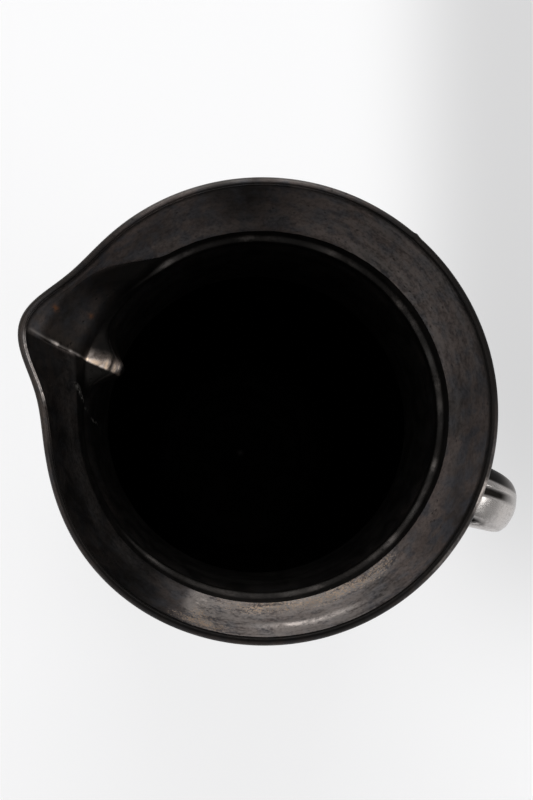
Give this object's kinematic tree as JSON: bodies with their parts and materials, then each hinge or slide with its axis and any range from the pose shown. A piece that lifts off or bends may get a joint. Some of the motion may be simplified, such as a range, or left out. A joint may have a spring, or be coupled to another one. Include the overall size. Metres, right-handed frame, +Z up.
{
  "type": "oinochoe jug",
  "caption": "Ceramic pouring jug on a foot ring, with an ovoid body, a drawn-in neck, a flared mouth pinched into a spout, and a ribbed strap handle opposite.",
  "frame": {"origin": "middle of the foot ring, on the table that the jug stands on", "axes": "+Z up along the thrown axis, -X towards the spout, +X towards the handle, +Y across the jug"},
  "size_m": [0.1884, 0.16, 0.2354],
  "materials": {
    "lustre_glaze": "black metallic glaze, mottled brown and steel grey, worn to bronze on edges",
    "luting_slip": "fired luting slip under the same dark glaze"
  },
  "bodies": {
    "root": {"foot_ring": "lustre_glaze", "foot_slip": "luting_slip", "body": "lustre_glaze", "neck_slip": "luting_slip", "neck": "lustre_glaze", "mouth_slip": "luting_slip", "mouth": "lustre_glaze", "handle": "lustre_glaze", "handle_upper_slip": "luting_slip", "handle_lower_slip": "luting_slip"}
  },
  "joints": []
}
